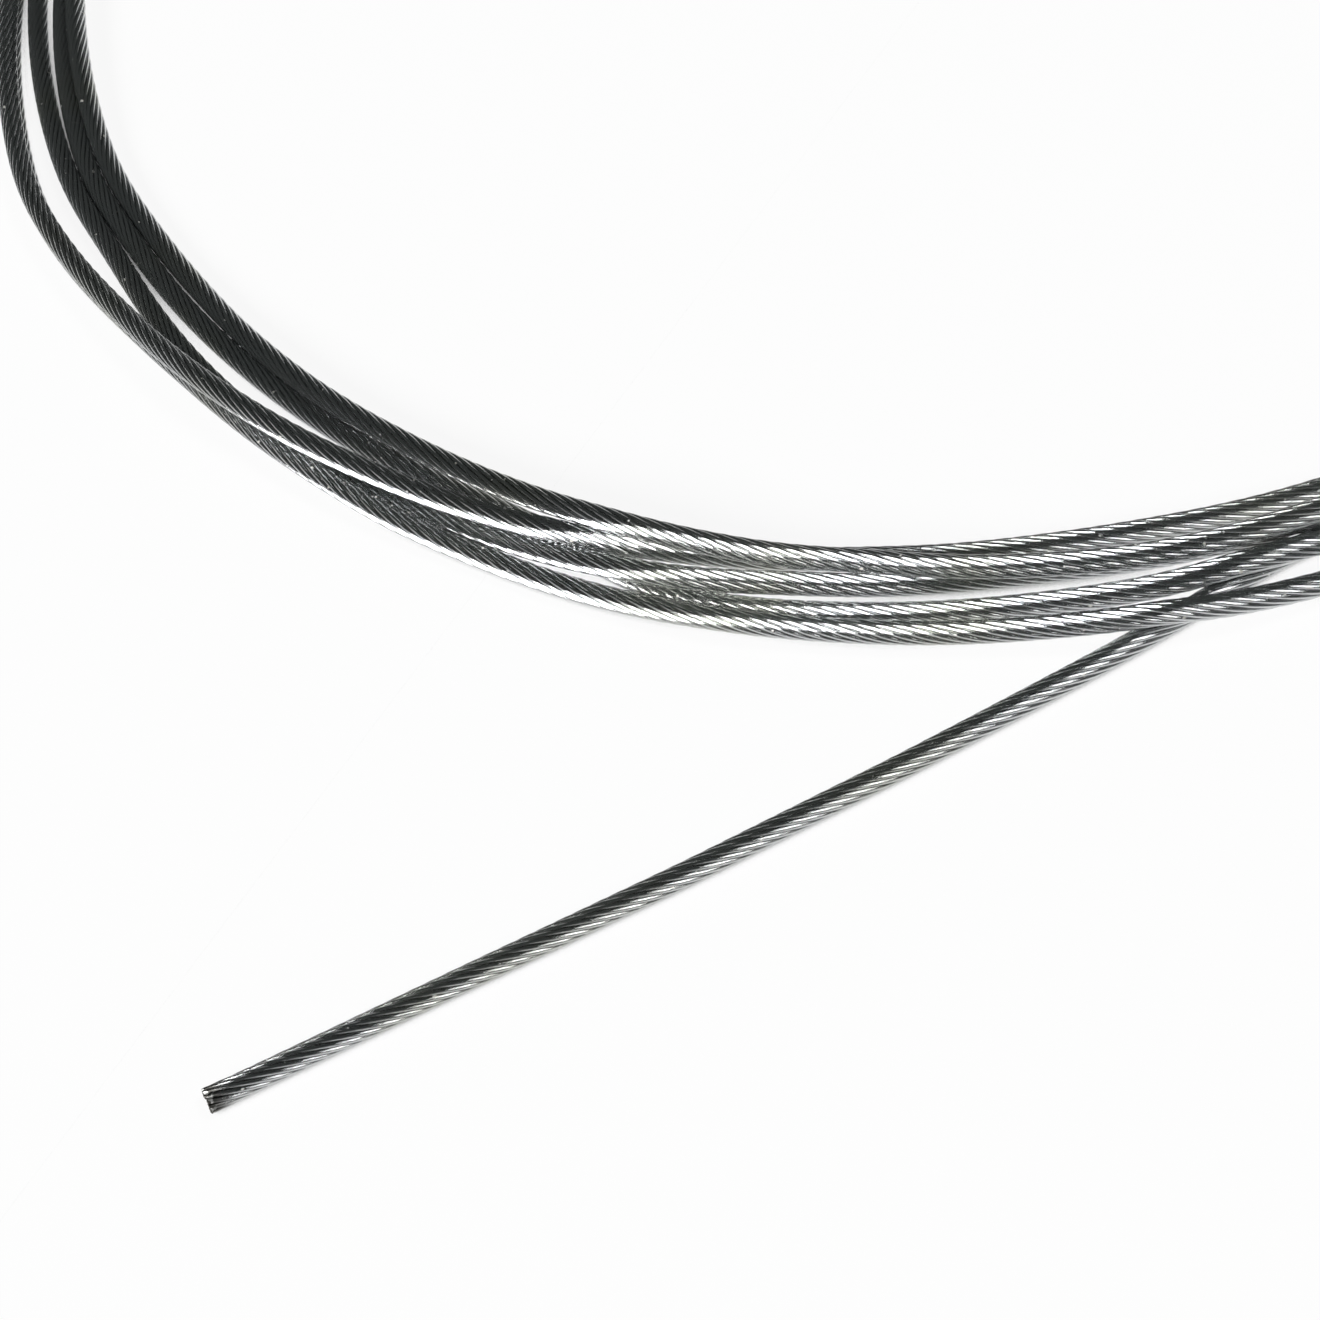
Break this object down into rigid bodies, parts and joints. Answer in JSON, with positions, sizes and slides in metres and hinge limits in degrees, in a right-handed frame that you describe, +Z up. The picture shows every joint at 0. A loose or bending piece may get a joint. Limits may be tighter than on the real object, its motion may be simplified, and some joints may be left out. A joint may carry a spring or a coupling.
{
  "type": "shift cable",
  "caption": "Bare stranded steel shift cable in a loose round coil, with a cut end running out from under it and a cast barrel head.",
  "frame": {"origin": "on the surface the coil lies on, under the middle of the whole part's box", "axes": "+Z up out of the surface, +Y from the cut end's side towards the head's side, +X to the right of that"},
  "size_m": [0.1204, 0.1305, 0.0044],
  "materials": {
    "drawn_steel": "bright drawn wire, lightly oiled",
    "cast_zinc": "satin die casting"
  },
  "bodies": {
    "root": {"coil": "drawn_steel", "free_end": "drawn_steel", "head_end": "drawn_steel", "head": "cast_zinc"}
  },
  "joints": []
}
